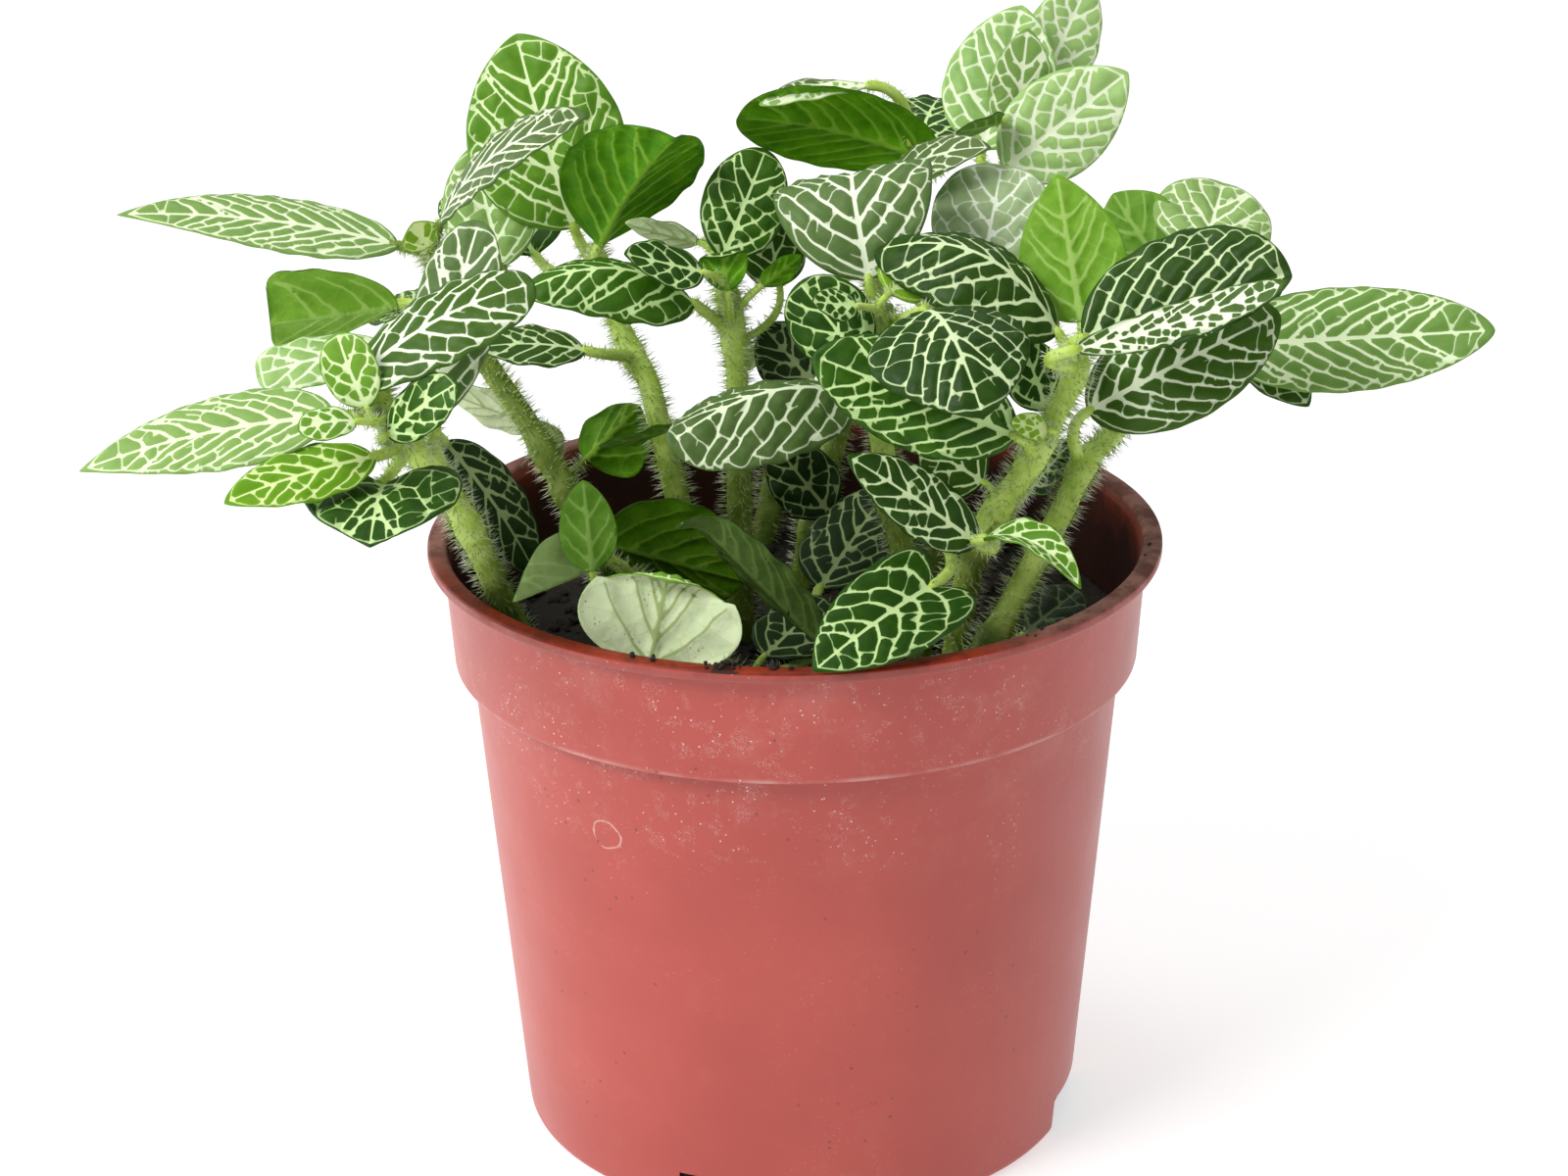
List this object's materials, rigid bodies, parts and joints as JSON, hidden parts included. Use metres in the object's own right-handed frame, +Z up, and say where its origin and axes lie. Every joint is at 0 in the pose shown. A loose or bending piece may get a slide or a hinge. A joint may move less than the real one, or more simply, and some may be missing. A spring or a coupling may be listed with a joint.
{
  "type": "potted nerve plant",
  "caption": "Nerve plant (Fittonia) with dark green, white-veined leaves on sprawling hairy stems, rooted in potting mix in a round tapered terracotta-coloured plastic nursery pot.",
  "frame": {"origin": "centre of the pot's underside, on the surface that the pot stands on", "axes": "+Z up along the pot's axis, -Y towards the plant's front, +X to the right when the plant is seen from the front"},
  "size_m": [0.2178, 0.1497, 0.1802],
  "materials": {
    "pot": "satin terracotta-coloured moulded plastic, scuffed and limescale-marked",
    "soil": "matte dark brown peat and bark potting mix",
    "stem": "matte light green stem with dense fine white hairs",
    "leaf": "satin green leaf with a net of cream-white veins above, plain pale green below"
  },
  "bodies": {
    "root": {"pot": "pot", "soil": "soil", "left_front_stem": "stem", "left_front_leaf_1": "leaf", "left_front_leaf_2": "leaf", "left_front_leaf_3": "leaf", "left_front_leaf_4": "leaf", "left_front_leaf_5": "leaf", "left_front_leaf_6": "leaf", "left_front_leaf_7": "leaf", "left_back_stem": "stem", "left_back_leaf_1": "leaf", "left_back_leaf_2": "leaf", "left_back_leaf_3": "leaf", "left_back_leaf_4": "leaf", "back_left_stem": "stem", "back_left_leaf_1": "leaf", "back_left_leaf_2": "leaf", "back_left_leaf_3": "leaf", "back_left_leaf_4": "leaf", "mid_left_stem": "stem", "mid_left_leaf_1": "leaf", "mid_left_leaf_2": "leaf", "centre_stem": "stem", "centre_leaf_1": "leaf", "centre_leaf_2": "leaf", "centre_leaf_3": "leaf", "centre_leaf_4": "leaf", "centre_leaf_5": "leaf", "centre_leaf_6": "leaf", "centre_leaf_7": "leaf", "mid_right_stem": "stem", "mid_right_leaf_1": "leaf", "mid_right_leaf_2": "leaf", "mid_right_leaf_3": "leaf", "mid_right_leaf_4": "leaf", "mid_right_leaf_5": "leaf", "right_stem": "stem", "right_leaf_1": "leaf", "right_leaf_2": "leaf", "right_leaf_3": "leaf", "right_leaf_4": "leaf", "back_centre_stem": "stem", "back_centre_leaf_1": "leaf", "back_centre_leaf_2": "leaf", "back_centre_leaf_3": "leaf", "back_right_stem": "stem", "back_right_leaf_1": "leaf", "back_right_leaf_2": "leaf", "back_right_leaf_3": "leaf", "back_right_leaf_4": "leaf", "low_front_stem": "stem", "low_front_leaf_1": "leaf", "low_front_leaf_2": "leaf", "low_front_leaf_3": "leaf", "low_front_leaf_4": "leaf", "back_stem": "stem", "back_leaf_1": "leaf", "back_leaf_2": "leaf", "back_leaf_3": "leaf"}
  },
  "joints": []
}
